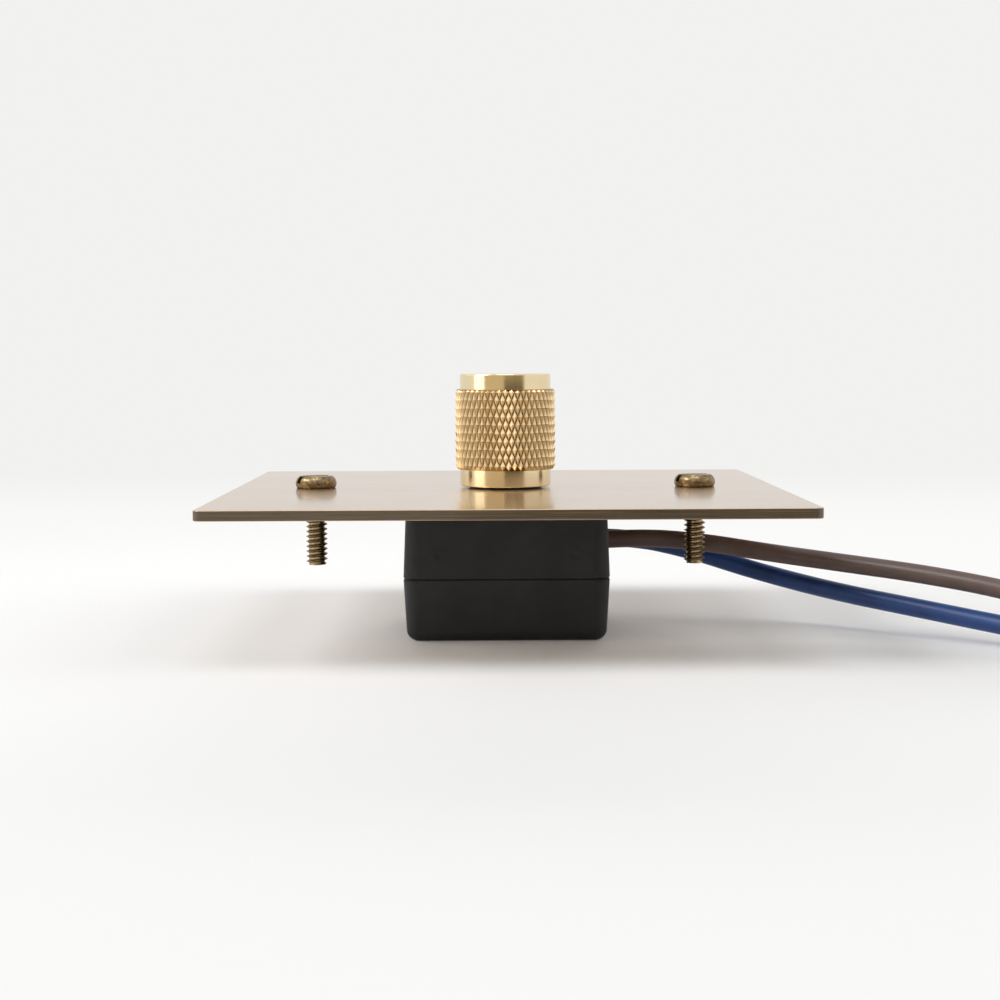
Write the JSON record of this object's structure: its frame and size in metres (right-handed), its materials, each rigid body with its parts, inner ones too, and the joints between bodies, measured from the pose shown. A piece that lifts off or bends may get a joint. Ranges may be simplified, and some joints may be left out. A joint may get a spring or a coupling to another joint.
{
  "type": "rotary dimmer switch",
  "caption": "Square brass plate with a knurled turned brass knob, two slotted screws and a black dimmer module with two flying leads underneath.",
  "frame": {"origin": "on the knob's axis, at the flat foot of the dimmer module", "axes": "+Z along the knob's axis, from the module's foot to the knob; +X to the right, towards the side where the leads leave; +Y away from the picture's camera"},
  "size_m": [0.1735, 0.0973, 0.0405],
  "materials": {
    "plate_brass": "brushed and lacquered sheet",
    "screw_brass": "aged, mottled",
    "knob_brass": "turned and polished",
    "plated_steel": "nickel plated",
    "blackened_steel": "chemically blackened",
    "case_plastic": "finely textured moulding",
    "cast_zinc": "die cast",
    "shaft_aluminium": "turned",
    "laminate": "paper laminate",
    "rotor_plastic": "moulded",
    "contact_bronze": "rolled strip",
    "board_laminate": "glass laminate",
    "part_black": "moulded",
    "ferrite": "sintered",
    "copper": "bare copper",
    "capacitor_yellow": "moulded box",
    "capacitor_red": "moulded box",
    "diac_glass": "lacquered",
    "resistor_lacquer": "lacquered",
    "brown_insulation": "extruded",
    "blue_insulation": "extruded"
  },
  "bodies": {
    "housing": {"face_plate": "plate_brass", "plate_screws": "screw_brass", "bush_nut": "blackened_steel", "lock_washer": "blackened_steel", "upper_case": "case_plastic", "lower_case": "case_plastic", "control_bush": "cast_zinc", "control_can": "plated_steel", "track_wafer": "laminate", "track_terminals": "plated_steel", "circuit_board": "board_laminate", "triac": "part_black", "choke_core": "ferrite", "choke_winding": "copper", "suppression_capacitor": "capacitor_yellow", "timing_capacitor": "capacitor_red", "diac": "diac_glass", "resistors": "resistor_lacquer", "fuse": "part_black", "brown_lead": "brown_insulation", "brown_lead_core": "copper", "blue_lead": "blue_insulation", "blue_lead_core": "copper"},
    "rotor": {"knob": "knob_brass", "control_shaft": "shaft_aluminium", "shaft_clip": "plated_steel", "wiper_carrier": "rotor_plastic", "wiper": "contact_bronze"}
  },
  "joints": [
    {"name": "knob_turn", "type": "hinge", "parent": "housing", "child": "rotor", "pos_m": [0, 0, 0.03], "axis": [0, 0, -1], "range_deg": [0, 300]}
  ]
}
